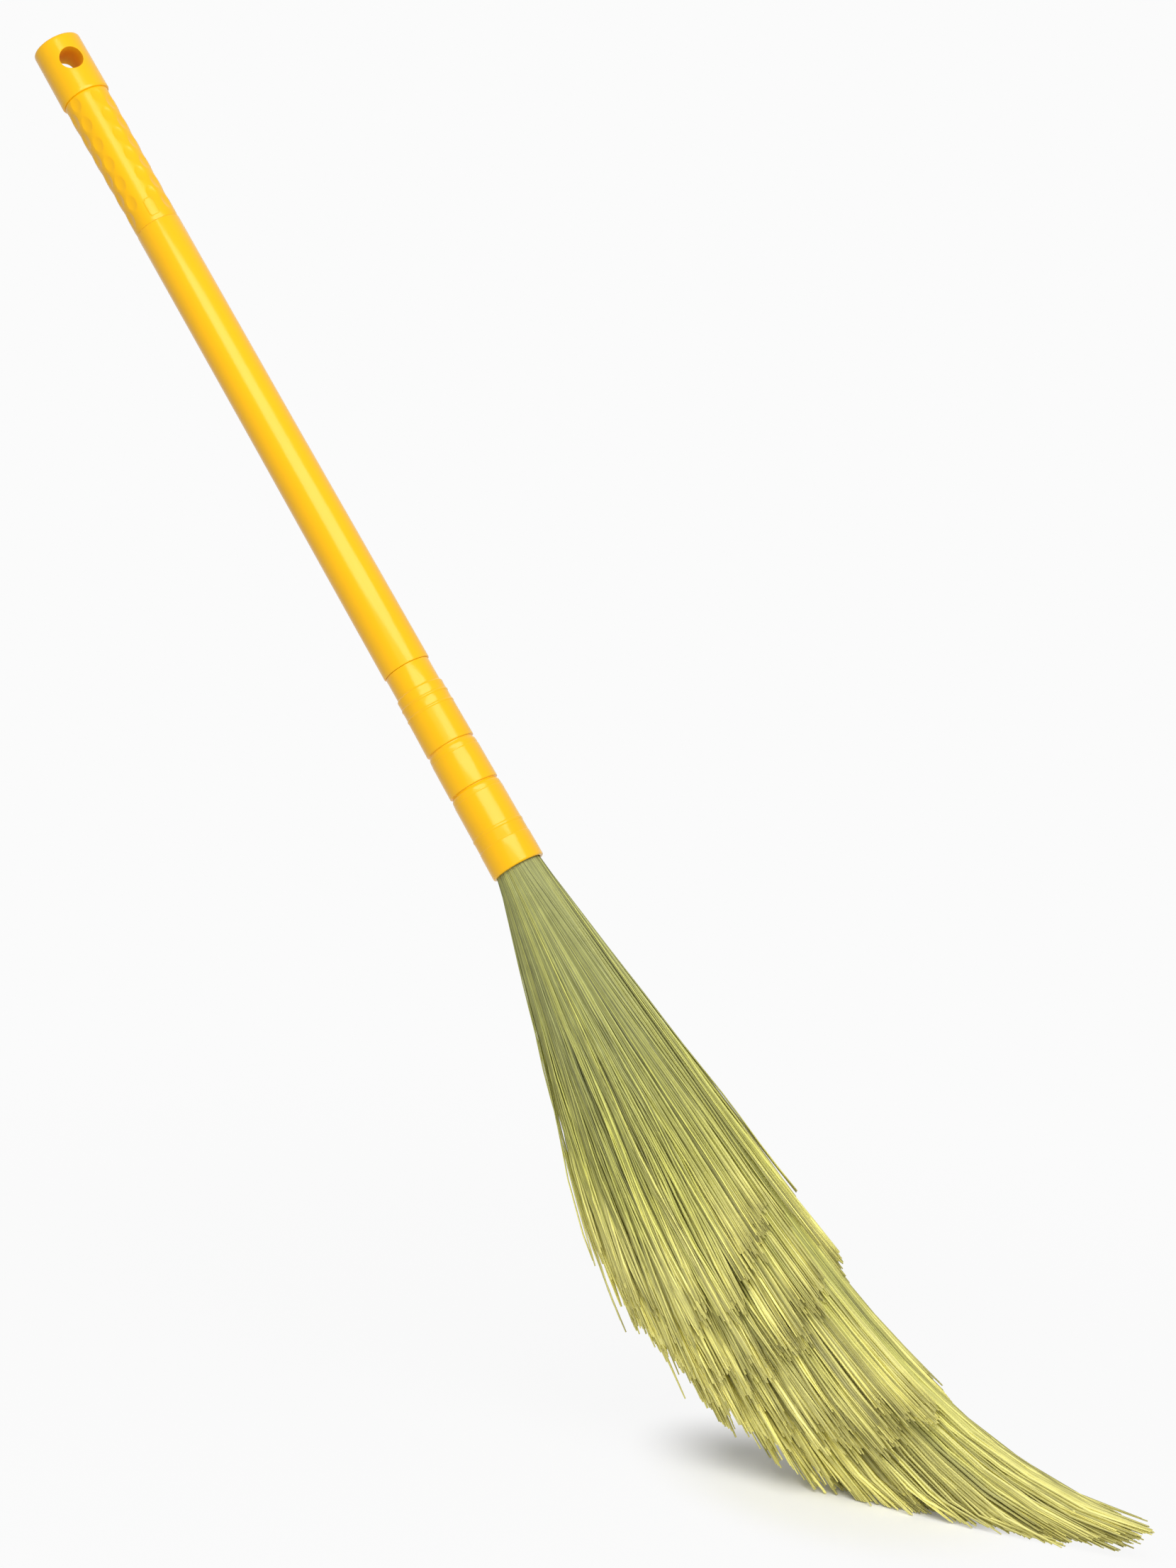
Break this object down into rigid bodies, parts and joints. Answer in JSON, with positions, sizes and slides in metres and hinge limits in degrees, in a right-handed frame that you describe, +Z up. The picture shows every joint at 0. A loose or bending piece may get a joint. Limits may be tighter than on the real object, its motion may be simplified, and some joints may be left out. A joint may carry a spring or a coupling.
{
  "type": "floor broom",
  "caption": "Slim floor broom: hollow yellow plastic handle with a dimpled grip, a hanging hole and a stepped ferrule, and a swept fan of yellow-green grass-like bristles.",
  "frame": {"origin": "centre of the broom's box at floor level, under the bristle tips that meet the floor", "axes": "+Z up, +X the way the bristles are swept, away from the leaning handle, and +Y through the thin fan"},
  "size_m": [0.7586, 0.0584, 0.8197],
  "materials": {
    "yellow_plastic": "smooth moulded plastic with a soft gloss",
    "yellow_grip_plastic": "moulded plastic with rows of shallow dimples",
    "band_steel": "flat strap",
    "bristle_plastic": "fine feathery filaments, green at the root and yellow at the tips"
  },
  "bodies": {
    "root": {"ferrule": "yellow_plastic", "handle_tube": "yellow_plastic", "grip_sleeve": "yellow_grip_plastic", "hang_cap": "yellow_plastic", "binding_band_1": "band_steel", "binding_band_2": "band_steel", "binding_band_3": "band_steel", "tuft_front_outer_1": "bristle_plastic", "tuft_front_outer_2": "bristle_plastic", "tuft_front_outer_3": "bristle_plastic", "tuft_front_outer_4": "bristle_plastic", "tuft_front_outer_5": "bristle_plastic", "tuft_front_outer_6": "bristle_plastic", "tuft_front_inner_1": "bristle_plastic", "tuft_front_inner_2": "bristle_plastic", "tuft_front_inner_3": "bristle_plastic", "tuft_front_inner_4": "bristle_plastic", "tuft_front_inner_5": "bristle_plastic", "tuft_front_inner_6": "bristle_plastic", "tuft_core_1": "bristle_plastic", "tuft_core_2": "bristle_plastic", "tuft_core_3": "bristle_plastic", "tuft_core_4": "bristle_plastic", "tuft_core_5": "bristle_plastic", "tuft_core_6": "bristle_plastic", "tuft_back_inner_1": "bristle_plastic", "tuft_back_inner_2": "bristle_plastic", "tuft_back_inner_3": "bristle_plastic", "tuft_back_inner_4": "bristle_plastic", "tuft_back_inner_5": "bristle_plastic", "tuft_back_inner_6": "bristle_plastic", "tuft_back_outer_1": "bristle_plastic", "tuft_back_outer_2": "bristle_plastic", "tuft_back_outer_3": "bristle_plastic", "tuft_back_outer_4": "bristle_plastic", "tuft_back_outer_5": "bristle_plastic", "tuft_back_outer_6": "bristle_plastic"}
  },
  "joints": []
}
